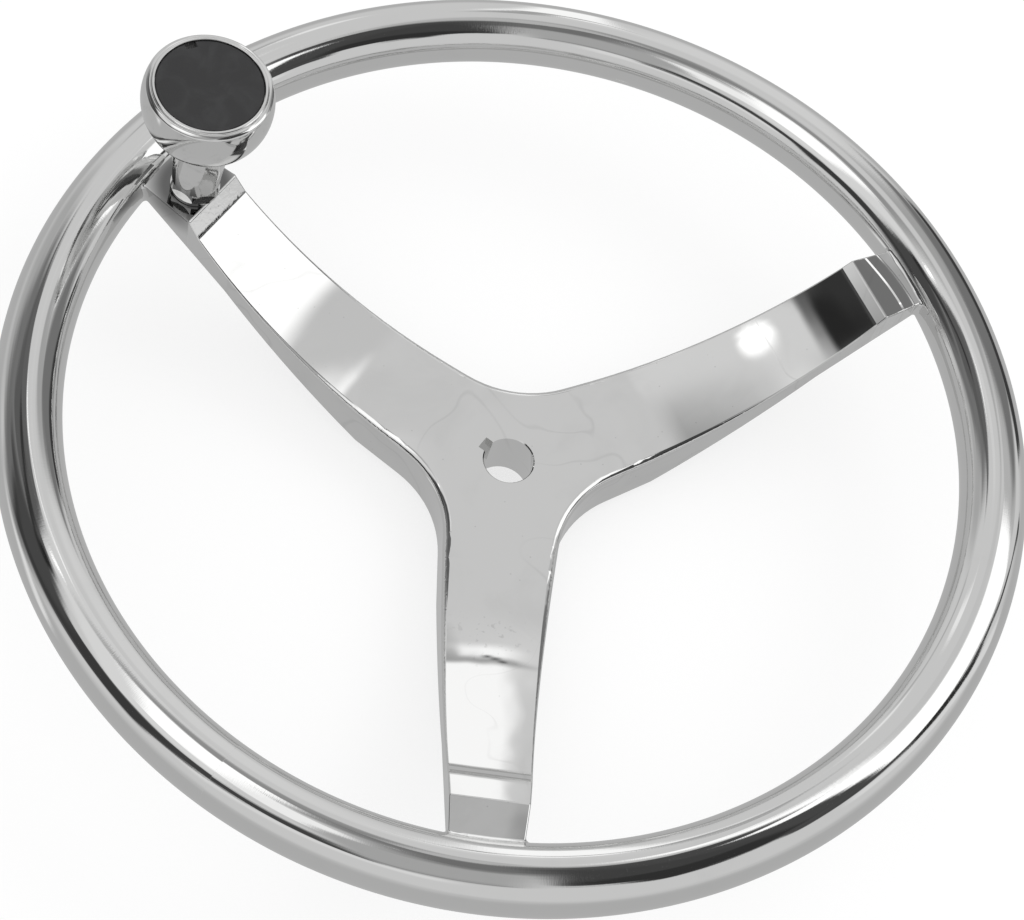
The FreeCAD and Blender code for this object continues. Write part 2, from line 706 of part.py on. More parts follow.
# Hole for the knob's stud, square to the sloping pad, with a flat cut behind it for the washer
# and nut. The section is drawn about the knob's axis, from the pad up.
stud_hole = new_sketch(spider, "stud_hole_section", "YZ_Plane")
stud_hole.setExpression("AttachmentOffset.Base.x", "Sizes.knob_radius_on_wheel")
stud_hole.setExpression("AttachmentOffset.Base.y", "Sizes.pad_height")
stud_hole.setExpression("AttachmentOffset.Rotation.Angle", "Sizes.knob_lean")
hole_radius = size("stud_dia") / 2 + size("stud_clearance")
outline(
    stud_hole,
    [
        (ZERO, -size("pad_seat_thickness") - size("margin") * 3),
        (size("spot_face_dia") / 2, -size("pad_seat_thickness") - size("margin") * 3),
        (size("spot_face_dia") / 2, -size("pad_seat_thickness")),
        (hole_radius, -size("pad_seat_thickness")),
        (hole_radius, size("margin")),
        (ZERO, size("margin")),
    ],
)
doc.recompute()
stud_cut = spider.newObject("PartDesign::Groove", "stud_hole")
stud_cut.Profile = stud_hole
stud_cut.ReferenceAxis = (stud_hole, ["V_Axis"])
stud_cut.Angle = 360.0
spider.Tip = stud_cut
doc.recompute()
print("spider", round(stud_cut.Shape.Volume, 1), "mm3, solids", len(stud_cut.Shape.Solids))


# Knob post: turned from bar, with a collar that stands on the pad, spanner flats, a tapered
# stem, the spindle for the head, and a stud that goes through the spoke. It is drawn from the
# pad up, about its own axis.

post = new_body("knob_post")
stud = size("stud_dia") / 2
stud_end = -(size("pad_seat_thickness") + size("spring_washer_height") + size("nut_height") + size("stud_tail"))
foot = size("foot_dia") / 2
spindle = size("spindle_dia") / 2
turned(
    post,
    "turned_post",
    [
        (ZERO, stud_end),
        (stud - broken * 2, stud_end),
        (stud, stud_end + broken * 2),
        (stud, ZERO),
        (foot - broken, ZERO),
        (foot, broken),
        (foot, size("stem_base") - broken),
        (foot - broken, size("stem_base")),
        (size("stem_low_dia") / 2, size("stem_base")),
        (size("stem_top_dia") / 2, size("stem_top") - broken),
        (size("stem_top_dia") / 2 - broken, size("stem_top")),
        (spindle, size("stem_top")),
        (spindle, size("keeper_base") - broken),
        (spindle - broken, size("keeper_base")),
        (ZERO, size("keeper_base")),
    ],
)
flats = new_sketch(post, "spanner_flats_plan", "XY_Plane")
flats.setExpression("AttachmentOffset.Base.z", "Sizes.hex_base")
circle(flats, ZERO, ZERO, size("foot_dia") + size("margin"))
hexagon(flats, size("hex_flats"))
doc.recompute()
cut_upward(post, "spanner_flats", flats, size("hex_height"))
tapped = size("screw_dia") / 2 + size("thread_gap")
hole_end = size("keeper_top") - size("screw_length") - size("stud_tail")
turned(
    post,
    "tapped_hole",
    [
        (ZERO, hole_end - tapped / 2),
        (tapped, hole_end),
        (tapped, size("keeper_base") + size("margin")),
        (ZERO, size("keeper_base") + size("margin")),
    ],
    groove=True,
)
on_pad(post)


# Knob head: a ball turned from bar, cut flat below, bored hollow from above, with a sleeve
# left standing inside for the bushes and a shallow recess for the cap

ball = new_body("knob_head")
ball_radius = size("ball_dia") / 2
sleeve = size("sleeve_dia") / 2
floor = size("ball_bottom") + size("head_floor")
low_rim = math.sqrt(ball_radius.number ** 2 - (value["ball_centre"] - value["ball_bottom"]) ** 2)
high_rim = math.sqrt(ball_radius.number ** 2 - (value["ball_top"] - value["ball_centre"]) ** 2)
turned(
    ball,
    "turned_ball",
    [
        (size("skirt_bore_dia") / 2, size("ball_bottom")),
        (low_rim, size("ball_bottom")),
        (high_rim, size("ball_top")),
        (size("recess_dia") / 2, size("ball_top")),
        (size("recess_dia") / 2, size("cap_base")),
        (size("cavity_dia") / 2, size("cap_base")),
        (size("cavity_dia") / 2, floor),
        (sleeve, floor),
        (sleeve, size("sleeve_top")),
        (size("bush_dia") / 2, size("sleeve_top")),
        (size("bush_dia") / 2, size("sleeve_base")),
        (size("skirt_bore_dia") / 2, size("sleeve_base")),
    ],
    {1: ((ball_radius.number, value["ball_centre"]), ball_radius, (ZERO, size("ball_centre")))},
)


def is_ring(edge, radius, height):
    """A full circle about the knob's axis, of the given radius and at the given height."""
    point = middle_of(edge)
    return abs(math.hypot(point.x, point.y) - radius) < 0.01 and abs(point.z - height) < 0.01


round_edges(ball, "lip_of_ball", size("lip_round"),
            lambda edge: is_ring(edge, high_rim, value["ball_top"]))
round_edges(ball, "edge_of_underside", size("underside_round"),
            lambda edge: is_ring(edge, low_rim, value["ball_bottom"]))
on_pad(ball)


# Black cap: a disc with a ring below it that snaps into the ball, and a slot for prying it out

cap = new_body("knob_cap")
cap_rim = size("cap_dia") / 2
ring_outer = size("cavity_dia") / 2 - size("cap_gap")
ring_inner = ring_outer - size("cap_skirt_wall")
ring_foot = size("cap_base") - size("cap_skirt_height")
turned(
    cap,
    "moulded_cap",
    [
        (ZERO, size("cap_base")),
        (ring_inner, size("cap_base")),
        (ring_inner, ring_foot),
        (ring_outer, ring_foot),
        (ring_outer, size("cap_base")),
        (cap_rim, size("cap_base")),
        (cap_rim, size("cap_top") - broken),
        (cap_rim - broken, size("cap_top")),
        (ZERO, size("cap_top")),
    ],
)
pry = new_sketch(cap, "pry_slot_plan", "XY_Plane")
pry.setExpression("AttachmentOffset.Base.z", "Sizes.cap_base")
pry.setExpression("AttachmentOffset.Rotation.Angle", "Sizes.cap_slot_turn")
outline(
    pry,
    [
        (cap_rim - size("cap_slot_depth"), -size("cap_slot_width") / 2),
        (cap_rim + size("margin"), -size("cap_slot_width") / 2),
        (cap_rim + size("margin"), size("cap_slot_width") / 2),
        (cap_rim - size("cap_slot_depth"), size("cap_slot_width") / 2),
    ],
)
doc.recompute()
cut_upward(cap, "pry_slot", pry, size("cap_height") + size("margin"))
on_pad(cap)


# Bushes pressed into the sleeve, each with its flange outwards

bush_inner = size("bush_bore_dia") / 2
bush_outer = size("bush_dia") / 2
flange = size("bush_flange_dia") / 2

lower_bush = new_body("lower_bush")
turned(
    lower_bush,
    "turned_lower_bush",
    [
        (bush_inner, size("lower_flange_base")),
        (flange, size("lower_flange_base")),
        (flange, size("sleeve_base")),
        (bush_outer, size("sleeve_base")),
        (bush_outer, size("lower_bush_end")),
        (bush_inner, size("lower_bush_end")),
    ],
)
on_pad(lower_bush)

upper_bush = new_body("upper_bush")
turned(
    upper_bush,
    "turned_upper_bush",
    [
        (bush_inner, size("upper_bush_end")),
        (bush_outer, size("upper_bush_end")),
        (bush_outer, size("sleeve_top")),
        (flange, size("sleeve_top")),
        (flange, size("upper_flange_top")),
        (bush_inner, size("upper_flange_top")),
    ],
)
on_pad(upper_bush)


# Washers: the plastic one that the lower bush runs on, the one that keeps the head on its
# spindle, and the split spring washer under the nut

def plain_washer(label, bore, outer, low, high):
    """A flat washer: its section is a rectangle beside the axis."""
    washer = new_body(label)
    turned(washer, "stamped_" + label, [(bore, low), (outer, low), (outer, high), (bore, high)])
    on_pad(washer)
    return washer


plain_washer("thrust_washer", spindle + size("stud_clearance"), size("thrust_dia") / 2,
             size("stem_top"), size("lower_flange_base"))
plain_washer("retaining_washer", tapped + size("stud_clearance"), size("keeper_dia") / 2,
             size("keeper_base"), size("keeper_top"))
lock = plain_washer("lock_washer", stud + size("stud_clearance"), size("spring_washer_dia") / 2,
                    -(size("pad_seat_thickness") + size("spring_washer_height")), -size("pad_seat_thickness"))
split = new_sketch(lock, "split_plan", "XY_Plane")
outline(
    split,
    [
        (ZERO, -size("spring_washer_split") / 2),
        (size("spring_washer_dia"), -size("spring_washer_split") / 2),
        (size("spring_washer_dia"), size("spring_washer_split") / 2),
        (ZERO, size("spring_washer_split") / 2),
    ],
)
doc.recompute()
cut_through(lock, "spring_split", split)


# Retaining screw with a low head and a hexagon socket

screw = new_body("retaining_screw")
turned(
    screw,
    "turned_screw",
    [
        (ZERO, size("keeper_top") - size("screw_length")),
        (size("screw_dia") / 2 - broken, size("keeper_top") - size("screw_length")),
        (size("screw_dia") / 2, size("keeper_top") - size("screw_length") + broken),
        (size("screw_dia") / 2, size("keeper_top")),
        (size("screw_head_dia") / 2, size("keeper_top")),
        (size("screw_head_dia") / 2, size("keeper_top") + size("screw_head_height") / 3),
        (size("screw_head_dia") / 4, size("keeper_top") + size("screw_head_height")),
        (ZERO, size("keeper_top") + size("screw_head_height")),
    ],
)
socket = new_sketch(screw, "socket_plan", "XY_Plane")
socket.setExpression("AttachmentOffset.Base.z", "Sizes.keeper_top + Sizes.screw_head_height / 4")
hexagon(socket, size("screw_socket"))
doc.recompute()
cut_upward(screw, "hexagon_socket", socket, size("margin"))
on_pad(screw)


# Nut on the stud: a turned blank with both ends bevelled, then six flats

nut = new_body("back_nut")
nut_top = -(size("pad_seat_thickness") + size("spring_washer_height"))
nut_foot = nut_top - size("nut_height")
corner = size("nut_flats") * (1.0 / math.sqrt(3.0))
bevel = size("nut_chamfer")
threaded = stud + size("thread_gap")
turned(
    nut,
    "turned_blank",
    [
        (threaded + broken, nut_foot),
        (corner - bevel, nut_foot),
        (corner, nut_foot + bevel * 0.577),
        (corner, nut_top - bevel * 0.577),
        (corner - bevel, nut_top),
        (threaded + broken, nut_top),
        (threaded, nut_top - broken),
        (threaded, nut_foot + broken),
    ],
)
nut_plan = new_sketch(nut, "nut_flats_plan", "XY_Plane")
circle(nut_plan, ZERO, ZERO, size("nut_flats") * 2)
hexagon(nut_plan, size("nut_flats"))
doc.recompute()
cut_through(nut, "nut_flats", nut_plan)
on_pad(nut)


# Check every object, then write each piece to its own file

doc.recompute()
problems = []
for thing in doc.Objects:
    if "Invalid" in thing.State or "Error" in thing.State:
        problems.append(thing.Label + " is in error")
pieces = [thing for thing in doc.Objects if thing.TypeId == "PartDesign::Body" and thing is not casting]
for piece in pieces:
    if piece.Shape.isNull() or not piece.Shape.isValid() or len(piece.Shape.Solids) < 1:
        problems.append(piece.Label + " has no valid solid")
        continue
    box = piece.Shape.BoundBox
    print(piece.Label, "solids", len(piece.Shape.Solids), "volume", round(piece.Shape.Volume, 1),
          "mm3, z", round(box.ZMin, 2), "to", round(box.ZMax, 2), "width", round(box.XLength, 2))
if problems:
    raise ValueError("; ".join(problems))
os.makedirs("parts", exist_ok=True)
for piece in pieces:
    piece.Shape.exportStep("parts/" + piece.Label + ".step")
print("wrote", len(pieces), "pieces")
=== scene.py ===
# %% [markdown]
# # A stainless boat steering wheel with a spinner knob
# The wheel comes from the CAD model as a frame of finished, named pieces in metres: a tube rim, a
# cast spider of hub and three dished spokes, and the small pieces of the knob. The frame's places
# stay as they are. This lesson gives each piece the surface of the real one and lights it as a
# product photographer would, because a polished wheel shows little but what stands round it.

# %% Load the frame and list its pieces
import math
import bpy
import numpy as np
from mathutils import Matrix, Vector


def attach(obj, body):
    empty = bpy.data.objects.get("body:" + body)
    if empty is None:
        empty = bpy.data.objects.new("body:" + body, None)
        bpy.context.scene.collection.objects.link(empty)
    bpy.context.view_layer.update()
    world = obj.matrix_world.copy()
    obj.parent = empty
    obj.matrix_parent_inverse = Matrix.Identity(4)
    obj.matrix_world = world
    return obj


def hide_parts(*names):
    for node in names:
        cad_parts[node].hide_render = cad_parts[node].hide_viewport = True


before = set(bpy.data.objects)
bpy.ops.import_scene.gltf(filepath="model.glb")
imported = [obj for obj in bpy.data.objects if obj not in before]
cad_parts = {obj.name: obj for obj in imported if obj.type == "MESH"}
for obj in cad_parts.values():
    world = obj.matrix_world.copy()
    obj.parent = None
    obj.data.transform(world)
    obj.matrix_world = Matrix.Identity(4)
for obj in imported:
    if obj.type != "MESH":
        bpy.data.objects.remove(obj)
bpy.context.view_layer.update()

print("pieces:", ", ".join(sorted(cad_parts)))

# %% [markdown]
# ## Measures that the surfaces need
# The same few sizes as on the real wheel, in metres: where the middle of the tube runs, how thick
# it is, how high the rim stands above the hub's back, and where the knob stands. Patterns that run
# along the tube or round the knob are laid out from them.

# %% Name the measures
RING = 0.1604
TUBE = 0.0111
RIM_HEIGHT = 0.054
KNOB_Y = 0.1369
PAD_HEIGHT = 0.058
KNOB_LEAN = math.radians(4.2)
print("wheel diameter in mm:", round(2000 * (RING + TUBE), 1))

# %% [markdown]
# ## Shader arithmetic
# A material is a graph of nodes. Written as Python expressions it stays readable: `Value` wraps one
# output socket, and `+ - *` on it add Math nodes. `Shader.node` makes any other node, with its
# settings first and then its inputs. Colours are mixed by Mix nodes, never by Math nodes, which
# would turn them grey.

# %% One class for sockets, one for the node tree
class Value:
    """An output socket that takes part in arithmetic."""

    def __init__(self, shader, socket):
        self.shader = shader
        self.socket = socket

    def out(self, name):
        return Value(self.shader, self.socket.node.outputs[name])

    def math(self, operation, other=None):
        inputs = {0: self, 1: other}
        return self.shader.node("ShaderNodeMath", {"operation": operation}, inputs)

    def __add__(self, other):
        return self.math("ADD", other)

    __radd__ = __add__

    def __sub__(self, other):
        return self.math("SUBTRACT", other)

    def __rsub__(self, other):
        return (self * -1.0) + other

    def __mul__(self, other):
        return self.math("MULTIPLY", other)

    def clamp(self):
        return self.shader.node("ShaderNodeClamp", {}, {"Value": self})

    def rise(self, low, high):
        """0 below low, 1 above high, and a smooth slope between."""
        return self.shader.node("ShaderNodeMapRange", {"interpolation_type": "SMOOTHSTEP"},
                                {"Value": self, "From Min": low, "From Max": high})


class Shader:
    """The node tree of a material or of the world, empty at first."""

    def __init__(self, tree):
        self.tree = tree
        tree.nodes.clear()

    def node(self, kind, settings=None, inputs=None, output=0):
        """A new node. Inputs are sockets to link, constants to set, or None to leave as they are."""
        made = self.tree.nodes.new(kind)
        for name, setting in (settings or {}).items():
            setattr(made, name, setting)
        for name, value in (inputs or {}).items():
            if isinstance(value, Value):
                self.tree.links.new(value.socket, made.inputs[name])
            elif value is not None:
                made.inputs[name].default_value = value
        return Value(self, made.outputs[output])

    def show(self, surface, kind="ShaderNodeOutputMaterial"):
        """Lead a finished surface to the output of the tree."""
        self.tree.links.new(surface.socket, self.tree.nodes.new(kind).inputs["Surface"])

    def mix(self, factor, first, second):
        """Colour mix: first where the factor is 0, second where it is 1."""
        return self.node("ShaderNodeMix", {"data_type": "RGBA"}, {0: factor, 6: first, 7: second}, 2)

    def noise(self, place, scale, detail=2.0, rough=0.5, twist=0.0):
        return self.node("ShaderNodeTexNoise", {}, {"Vector": place, "Scale": scale, "Detail": detail,
                                                    "Roughness": rough, "Distortion": twist})

    def spot(self, place, centre, size):
        """How far a point is from a centre, as a share of the size in each direction."""
        moved = self.node("ShaderNodeVectorMath", {"operation": "SUBTRACT"}, {0: place, 1: centre})
        scaled = self.node("ShaderNodeVectorMath", {"operation": "DIVIDE"}, {0: moved, 1: size})
        return self.node("ShaderNodeVectorMath", {"operation": "LENGTH"}, {0: scaled}, 1)

    def xyz(self, x, y, z):
        return self.node("ShaderNodeCombineXYZ", {}, {0: x, 1: y, 2: z})


def new_material(name):
    material = bpy.data.materials.new(name)
    material.use_nodes = True
    return material, Shader(material.node_tree)


WHITE = (1.0, 1.0, 1.0, 1.0)
print("shader helpers ready")

# %% [markdown]
# ## The studio, as the metal sees it
# A mirror has no look of its own. To judge by its bands, the real wheel was lit by large soft boxes
# over a pale table, in a room with darker corners. So the studio is built first, as a round tent
# with a radius of 95 cm, on which soft-edged cards of light and dark hang. The tent has to be that
# near: the bands on the far side of the rim and those on its near side lie where a room at that
# distance puts them, and an endlessly far sky would put them elsewhere.
#
# A direction from the middle of the wheel is laid out flat like a sky map: straight up is the
# centre, and the distance from the centre is the angle from straight up, in degrees. On that map
# each card is a turned rectangle, laid where the photograph's bands ask for it. The tent is only
# seen as a reflection. What is matt is lit evenly by a white world, and the camera sees plain white.

# %% Lay out the cards of the studio
# x and y of the middle on the sky map, half width, half height, turn, softness of the edge (all in
# degrees), and how bright the card looks in the metal, from 0 to 1
CARDS = [
    # the light walls of the room
    (-60, 80, 20, 6, 0, 10, 0.82),
    (-56, -5, 5, 25, 20, 8, 0.80),
    (2, 70, 22, 14, 0, 15, 0.64),
    (60, 12, 18, 10, 5, 10, 0.78),
    (30, -70, 25, 5, -15, 5, 0.80),
    (38, 56, 11, 2, -5, 5, 0.62),
    (47, 47, 4, 4, 0, 4, 0.85),
    (31, 34, 2, 7, -10, 3, 0.86),
    (61, 29, 17, 4, 25, 3, 0.92),
    (45, 23, 6, 1.5, 22, 1.5, 0.62),
    (48, -3, 15, 5, -22, 6, 0.62),
    # the dark arch on the left, from its foot up and over to the middle
    (-25, 58, 30, 16, -15, 14, 0.44),
    (-51, 8, 6, 24, 13, 4, 0.30),
    (-46, 45, 11, 25, -30, 6, 0.28),
    (-24, 49, 20, 11, -10, 6, 0.32),
    (0, 46, 15, 14, -20, 9, 0.46),
    (4, 38, 15, 9, -28, 4, 0.38),
    (12, 33, 5, 7, 0, 3, 0.40),
    # the big window on the left and the grey wall under it
    (-24, -12, 20, 13, 30, 9, 0.63),
    (-42, -22, 3, 12, 35, 5, 0.56),
    (8, 9, 12, 9, -25, 6, 0.56),
    (-22, 20, 21, 11, 0, 5, 0.80),
    (-20, 5, 11, 6, 0, 4, 0.88),
    (-12, 14, 17, 6, -6, 4, 0.96),
    # the dark block at the bottom
    (4, -4, 13, 7, 30, 10, 0.45),
    (-2, -27, 24, 11, 38, 5, 0.30),
    (-4, -40, 18, 9, 0, 4, 0.25),
    (12, -26, 6, 22, -9, 5, 0.32),
    (6, -52, 8, 4, 0, 3, 0.32),
    # the window beside it, with its slanted frame
    (32, -33, 17, 21, 3, 2, 0.97),
    (53, -25, 9, 20, 23, 3, 0.68),
    (24, -8, 2, 12, -13, 2, 0.97),
    (30, -6, 3, 9, 0, 5, 0.73),
    # what stands on the right, and the dark sill under the window
    (66, -20, 16, 17, 10, 8, 0.46),
    (83, -30, 7, 21, -17, 4, 0.28),
    (30, -60, 11, 4, -20, 3, 0.24),
    (52, -59, 16, 2, -3, 2, 0.32),
    (12, -54, 8, 3, -10, 3, 0.32),
    # the light that the bottom pad mirrors, over the dark block
    (14, 2, 5, 3, 0, 3, 0.68),
    # thin bright edges, and the dark slit beside one
    (-17, 39, 5, 2, -40, 2, 0.22),
    (8, 24, 21, 2, -29, 2, 0.78),
    (-8, 40, 14, 2, -10, 3, 0.26),
    (18.5, 22, 0.4, 4, 14, 0.8, 1.00),
    # what the flat pad under the knob mirrors
    (51, 21.7, 0.9, 2.8, 23, 2, 0.62),
    (50.3, 21.7, 1.4, 0.25, -22, 0.5, 0.32),
]
# the lamp, an ellipse: x, y, half length, half width, turn, softness, brightness
LAMP = (-0.3, 27.9, 4.5, 0.60, -34, 0.45, 1.08)
# brightness of the bare room over and under the horizon, where one passes into the other, and over
# how many degrees
ROOM_ABOVE = 0.75
ROOM_BELOW = 0.66
HORIZON = 80.0
HORIZON_WIDTH = 20.0
# the level that the camera's contrast leaves as it is, and how far it spreads the levels above and
# below
MIDDLE_GREY = 0.7
SPREAD_ABOVE = 1.2
SPREAD_BELOW = 1.12
DARKEST, BRIGHTEST = 0.01, 1.1
GAMMA = 2.2
STEEL_SHARE = 0.80
TENT = 0.95


def smooth(share):
    """0 below 0, 1 above 1, and 3 s^2 - 2 s^3 between."""
    share = np.clip(share, 0.0, 1.0)
    return share * share * (3.0 - 2.0 * share)


def turned(across, along, x, y, turn):
    """Distances from (x, y) along an axis turned by an angle t, and square to it:
    u = dx cos t + dy sin t and v = dy cos t - dx sin t."""
    c, s = np.cos(np.radians(turn)), np.sin(np.radians(turn))
    return (across - x) * c + (along - y) * s, (along - y) * c - (across - x) * s


def studio_light(direction):
    """How bright the tent is in each direction. Angle from straight up = arccos(z). The map's x and y
    are the direction's x and y, stretched so that their length is that angle. A card's mask falls
    from 1 to 0 over its soft edge, along both of its sides, and later cards lie over earlier ones.
    The lamp is an ellipse: r = sqrt((u / length)^2 + (v / width)^2). Levels are then spread away
    from the middle grey, as a camera's contrast does. Light = level ^ gamma / the share that steel
    gives back."""
    x, y, z = direction[..., 0], direction[..., 1], direction[..., 2]
    angle = np.degrees(np.arccos(np.clip(z, -1.0, 1.0)))
    flat = np.maximum(np.hypot(x, y), 1e-6)
    across, along = x * angle / flat, y * angle / flat
    level = ROOM_ABOVE + (ROOM_BELOW - ROOM_ABOVE) * smooth((angle - HORIZON) / HORIZON_WIDTH)
    for x, y, half_width, half_height, turn, soft, bright in CARDS:
        u, v = turned(across, along, x, y, turn)
        side = np.clip((half_width - np.abs(u)) / soft + 0.5, 0.0, 1.0)
        top = np.clip((half_height - np.abs(v)) / soft + 0.5, 0.0, 1.0)
        level = level + (bright - level) * smooth(side * top)
    x, y, half_length, half_width, turn, soft, bright = LAMP
    u, v = turned(across, along, x, y, turn)
    r = np.hypot(u / half_length, v / half_width)
    level = level + (bright - level) * smooth((1.0 - r) * half_width / soft + 0.5)
    spread = np.where(level > MIDDLE_GREY, SPREAD_ABOVE, SPREAD_BELOW)
    level = MIDDLE_GREY + (level - MIDDLE_GREY) * spread
    return np.clip(level, DARKEST, BRIGHTEST) ** GAMMA / STEEL_SHARE


print("cards in the studio:", len(CARDS))

# %% Two helpers for meshes
def grid_faces(rows, columns, wrap_rows, wrap_columns):
    """Quads of a grid of points, row by row. With a wrap the last row or column joins the first."""
    r = np.arange(rows if wrap_rows else rows - 1)
    c = np.arange(columns if wrap_columns else columns - 1)
    r, c = np.meshgrid(r, c, indexing="ij")
    r2, c2 = (r + 1) % rows, (c + 1) % columns
    quads = np.stack([r * columns + c, r2 * columns + c, r2 * columns + c2, r * columns + c2], -1)
    return quads.reshape(-1, 4)


def add_mesh(name, points, faces, rounded=True):
    """A new object of the given points and faces, shaded as round or as flat faces."""
    mesh = bpy.data.meshes.new(name)
    mesh.from_pydata(points.reshape(-1, 3).tolist(), [], faces.tolist())
    mesh.update()
    mesh.polygons.foreach_set("use_smooth", [rounded] * len(mesh.polygons))
    thing = bpy.data.objects.new(name, mesh)
    bpy.context.scene.collection.objects.link(thing)
    return thing


# %% Pitch the tent, seen only as a reflection, in a white world
def ball_directions(top, bottom, rows, columns):
    """Directions from a middle: (sin p cos a, sin p sin a, cos p), with p, the angle from straight
    up, from top to bottom in degrees, and a once round."""
    p = np.radians(np.linspace(top, bottom, rows))[:, None]
    a = np.linspace(0.0, 2.0 * np.pi, columns, endpoint=False)[None, :]
    return np.stack([np.sin(p) * np.cos(a), np.sin(p) * np.sin(a), np.cos(p) + 0.0 * a], -1)


tent_light, shade = new_material("tent_light")
hung = shade.node("ShaderNodeAttribute", {"attribute_name": "light"})
shade.show(shade.node("ShaderNodeEmission", {}, {"Color": hung, "Strength": 1.0}))
tent_light.cycles.emission_sampling = "NONE"
# name, and angles from straight up in degrees at which this part of the tent starts and ends
TENT_PARTS = (("tent_roof", 0.3, 64.0), ("tent_wall", 64.0, 179.7))
TENT_ROWS = 200
TENT_COLUMNS = 495
for name, top, bottom in TENT_PARTS:
    ways = ball_directions(top, bottom, TENT_ROWS, TENT_COLUMNS)
    faces = grid_faces(TENT_ROWS, TENT_COLUMNS, False, True)
    tent = add_mesh(name, ways * TENT + np.array([0.0, 0.0, RIM_HEIGHT]), faces)
    tent.visible_camera = False
    tent.visible_diffuse = False
    tent.visible_transmission = False
    tent.visible_volume_scatter = False
    tent.visible_shadow = False
    light = studio_light(ways).reshape(-1, 1)
    light = np.hstack([light, light, light, np.ones_like(light)])
    levels = tent.data.color_attributes.new("light", "FLOAT_COLOR", "POINT")
    levels.data.foreach_set("color", light.ravel())
    tent.data.materials.append(tent_light)
    print(name, "faces:", len(tent.data.polygons))

world = bpy.data.worlds.new("white_room")
bpy.context.scene.world = world
world.use_nodes = True
sky = Shader(world.node_tree)
plain_light = sky.node("ShaderNodeBackground", {}, {"Color": WHITE, "Strength": 1.0})
sky.show(plain_light, "ShaderNodeOutputWorld")
print("world:", world.name)

# %% [markdown]
# ## The camera
# The camera stands where the photographer stood: 76 cm from the wheel, about 59 degrees above it,
# turned by 17 degrees about its own axis, with a lens of 81 mm on a 36 mm frame. The three turns
# below bring a point of the wheel into the camera's own axes, so the camera's matrix is their
# transpose.

# %% Place the camera
# the three turns in degrees, the middle of the rim in the camera's axes in metres, and the lens as a
# distance in pixels of the photograph
TURN, TILT, ROLL = 70.1, -30.188, -16.750
RIM_FROM_CAMERA = (0.003529, 0.015449, -0.760080)
LENS_PIXELS = 2300.0
PHOTO_WIDTH = 1024.0
SENSOR = 36.0
turn = Matrix.Rotation(math.radians(TURN), 3, "Z")
tilt = Matrix.Rotation(math.radians(TILT), 3, "X")
roll = Matrix.Rotation(math.radians(ROLL), 3, "Z")
to_camera = roll @ tilt @ turn
camera = bpy.data.objects.new("camera", bpy.data.cameras.new("camera"))
bpy.context.scene.collection.objects.link(camera)
bpy.context.scene.camera = camera
stand = Vector((0.0, 0.0, RIM_HEIGHT)) - to_camera.transposed() @ Vector(RIM_FROM_CAMERA)
camera.matrix_world = Matrix.Translation(stand) @ to_camera.transposed().to_4x4()
camera.data.sensor_width = SENSOR
camera.data.lens = LENS_PIXELS / PHOTO_WIDTH * SENSOR
camera.data.clip_start = 0.01
camera.data.clip_end = 50.0
print("camera at", [round(c, 3) for c in stand], "lens", round(camera.data.lens, 1))

# %% [markdown]
# ## The table
# A plain white table under the hub. It takes the soft shadow of the wheel, and most of its white
# is its own light, so that the shadow stays as faint as on a lit product table. The metal sees the
# studio's cards in its place.

# %% Make the table
TABLE_REACH = 3.0
TABLE_HEIGHT = -0.0004
TABLE_OWN_LIGHT = 0.72
corner = np.array([[-1.0, -1.0, 0.0], [1.0, -1.0, 0.0], [1.0, 1.0, 0.0], [-1.0, 1.0, 0.0]])
corner = corner * TABLE_REACH + np.array([0.0, 0.0, TABLE_HEIGHT])
table = add_mesh("table", corner, np.array([[0, 1, 2, 3]]), rounded=False)
table.visible_glossy = False
table_white, shade = new_material("table_white")
own_light = shade.node("ShaderNodeEmission", {}, {"Color": WHITE, "Strength": 1.0})
matt = shade.node("ShaderNodeBsdfDiffuse", {}, {"Color": WHITE})
white = shade.node("ShaderNodeMixShader", {}, {0: TABLE_OWN_LIGHT, 1: matt, 2: own_light})
from_below = shade.node("ShaderNodeNewGeometry").out("Backfacing")
clear = shade.node("ShaderNodeBsdfTransparent")
shade.show(shade.node("ShaderNodeMixShader", {}, {0: from_below, 1: white, 2: clear}))
table.data.materials.append(table_white)
print("table at", TABLE_HEIGHT * 1000, "mm")

# %% [markdown]
# ## Polished steel
# All the steel shares one recipe. The colour is that of stainless steel, slightly darker where a
# film of water marks or finger grease lies. The roughness is low where the polishing wheel was,
# and higher in a haze of fine scratches. A long, low wave in the surface bends the reflections, as
# hand polishing leaves it. Each piece adds marks of its own, in its own directions.

# %% The recipe for polished steel
def finish_material(shade, colour, roughness, metallic, normal):
    """Close a material with one principled surface."""
    shade.show(shade.node("ShaderNodeBsdfPrincipled", {}, {"Base Color": colour, "Roughness": roughness,
                                                           "Metallic": metallic, "Normal": normal}))


def bump(shade, height, distance, normal=None):
    """A bump of the given full height in metres."""
    return shade.node("ShaderNodeBump", {}, {"Strength": 1.0, "Distance": distance, "Height": height,
                                             "Normal": normal})


def object_place(shade, centre=(0.0, 0.0, 0.0), turn=(0.0, 0.0, 0.0)):
    """The place of a point on the object, from a centre and along turned axes."""
    place = shade.node("ShaderNodeTexCoord", output="Object")
    return shade.node("ShaderNodeMapping", {"vector_type": "TEXTURE"},
                      {"Vector": place, "Location": centre, "Rotation": turn})


def knob_place(shade):
    """The place of a point on the knob, from its foot and along its leaning axis."""
    return object_place(shade, (0.0, KNOB_Y, PAD_HEIGHT), (KNOB_LEAN, 0.0, 0.0))


def water_lines(shade, place, scale, width, twist):
    """Thin closed lines where a smooth noise passes its middle value, as dried water leaves them."""
    level = shade.noise(place, scale, 2.0, 0.45, twist)
    return 1.0 - (level - 0.5).math("ABSOLUTE").rise(0.0, width)


